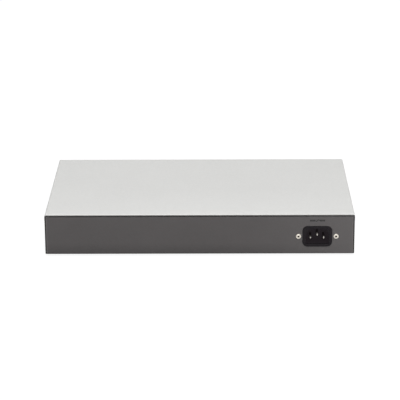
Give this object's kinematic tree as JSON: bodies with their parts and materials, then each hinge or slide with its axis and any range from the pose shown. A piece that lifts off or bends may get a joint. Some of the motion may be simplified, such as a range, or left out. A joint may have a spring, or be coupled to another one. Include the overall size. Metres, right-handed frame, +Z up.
{
  "type": "network switch",
  "caption": "Low, wide desktop network switch in a two-tone folded steel case, with stacked jacks and lamps in front and a mains inlet at the rear.",
  "frame": {"origin": "on the table, under the middle of the whole object, between the tip of the front button and the heads of the rear rivets", "axes": "+X across the case with the uplink button at the +X end, +Y from the jacks to the mains inlet, +Z up"},
  "size_m": [0.33, 0.2072, 0.046],
  "materials": {
    "base_paint": "dark charcoal powder coat, fine texture",
    "cover_paint": "pale silver-grey paint, satin",
    "film": "dark printed film, fine matt texture",
    "foot_rubber": "soft black rubber",
    "zinc_steel": "zinc plated",
    "spring_steel": "drawn wire",
    "inlet_plastic": "black moulded, fine texture",
    "nickel": "nickel-plated brass, satin",
    "mandrel_steel": "dark broken steel",
    "rivet_aluminium": "plain, slightly warm",
    "jack_plastic": "black moulded",
    "tin_plate": "tin plated sheet",
    "gilt": "thin gold plate",
    "clear_plastic": "clear moulded",
    "lamp_plastic": "tinted clear",
    "button_plastic": "grey moulded",
    "chip_plastic": "moulded epoxy",
    "header_plastic": "natural nylon",
    "board_laminate": "green solder mask on glass laminate",
    "supply_laminate": "plain brown laminate",
    "insulator_film": "thin polyester sheet",
    "can_sleeve": "shrink sleeve",
    "ferrite": "sintered ferrite",
    "coil_tape": "yellow winding tape",
    "copper_winding": "enamelled copper wire",
    "fuse_glass": "clear tube with plated caps",
    "film_capacitor_plastic": "moulded case",
    "sink_aluminium": "extruded, plain",
    "line_insulation": "brown",
    "neutral_insulation": "blue",
    "earth_insulation": "green and yellow",
    "positive_insulation": "red",
    "return_insulation": "black"
  },
  "bodies": {
    "switch": {"board_capacitors": "can_sleeve", "board_header": "header_plastic", "board_screws": "zinc_steel", "board_standoffs": "zinc_steel", "bulk_capacitor": "can_sleeve", "button_spring": "spring_steel", "chassis_base": "base_paint", "clock_crystals": "tin_plate", "cover_screws": "zinc_steel", "ear_nuts": "zinc_steel", "earth_nut": "zinc_steel", "earth_ring": "tin_plate", "earth_stud": "zinc_steel", "earth_wire": "earth_insulation", "film_capacitor": "film_capacitor_plastic", "front_film": "film", "fuse_clips": "tin_plate", "inlet_blades": "nickel", "inlet_rivets": "rivet_aluminium", "insulating_sheet": "insulator_film", "jack_contacts_left": "gilt", "jack_contacts_right": "gilt", "jack_housing_left": "jack_plastic", "jack_housing_right": "jack_plastic", "jack_shield_left": "tin_plate", "jack_shield_right": "tin_plate", "light_pipes_left": "clear_plastic", "light_pipes_right": "clear_plastic", "line_wire": "line_insulation", "magnetics": "chip_plastic", "main_board": "board_laminate", "mains_choke": "copper_winding", "mains_fuse": "fuse_glass", "memory_chips": "chip_plastic", "neutral_wire": "neutral_insulation", "output_capacitors": "can_sleeve", "port_chips": "chip_plastic", "port_lamps": "lamp_plastic", "power_inductors": "ferrite", "power_inlet": "inlet_plastic", "power_lamp": "lamp_plastic", "power_lamp_holder": "header_plastic", "power_transistors": "chip_plastic", "rivet_mandrels": "mandrel_steel", "rubber_feet": "foot_rubber", "supply_board": "supply_laminate", "supply_headers": "header_plastic", "supply_heat_sinks": "sink_aluminium", "supply_wires_positive": "positive_insulation", "supply_wires_return": "return_insulation", "switch_chip": "chip_plastic", "switch_heat_sink": "sink_aluminium", "top_cover": "cover_paint", "transformer_base": "chip_plastic", "transformer_coil": "coil_tape", "transformer_core": "ferrite", "uplink_switch": "chip_plastic"},
    "button": {"uplink_button": "button_plastic"}
  },
  "joints": [
    {"name": "button_press", "type": "slide", "parent": "switch", "child": "button", "axis": [0, 1, 0], "range_m": [0, 0.0015], "stiffness_N_per_m": 900, "springref_m": -0.001, "deforming": ["button_spring"]}
  ]
}
